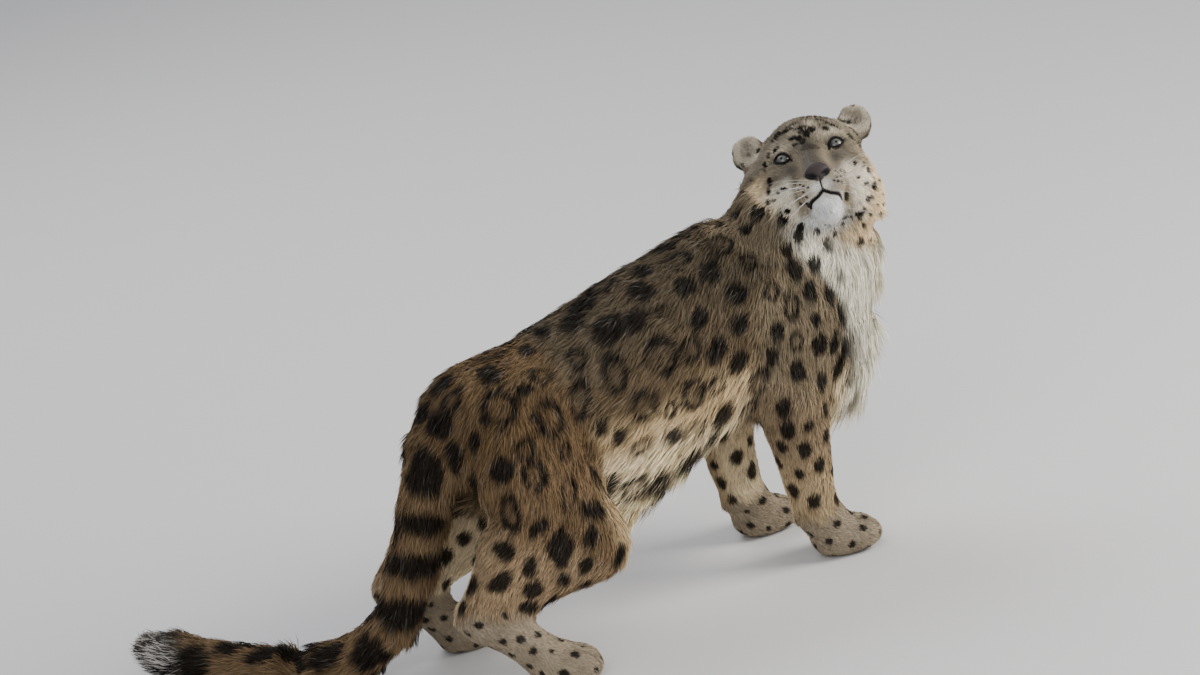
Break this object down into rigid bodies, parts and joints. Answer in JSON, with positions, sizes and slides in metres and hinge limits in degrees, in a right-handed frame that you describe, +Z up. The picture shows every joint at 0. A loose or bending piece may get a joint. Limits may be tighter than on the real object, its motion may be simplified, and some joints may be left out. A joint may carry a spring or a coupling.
{
  "type": "snow leopard",
  "caption": "Life-size snow leopard standing on all four feet, its long tail laid on the floor behind it and its head turned to look back over its right shoulder.",
  "frame": {"origin": "middle of the bounding box, on the floor the feet and tail rest on", "axes": "+X from the tail to the chest, +Y to the animal's left, +Z up"},
  "size_m": [1.257, 0.685, 0.6976],
  "materials": {
    "coat": "dense soft fur",
    "eye": "wet gloss"
  },
  "bodies": {
    "root": {"chest": "coat", "ear_left": "coat", "ear_right": "coat", "eye_left": "eye", "eye_right": "eye", "foreleg_lower_left": "coat", "foreleg_lower_right": "coat", "foreleg_upper_left": "coat", "foreleg_upper_right": "coat", "forepaw_left": "coat", "forepaw_right": "coat", "head": "coat", "hindleg_shank_left": "coat", "hindleg_shank_right": "coat", "hindleg_thigh_left": "coat", "hindleg_thigh_right": "coat", "hindpaw_left": "coat", "hindpaw_right": "coat", "loin": "coat", "neck": "coat", "rump": "coat", "tail_lower": "coat", "tail_middle": "coat", "tail_root": "coat", "tail_tip": "coat", "tail_upper": "coat"}
  },
  "joints": []
}
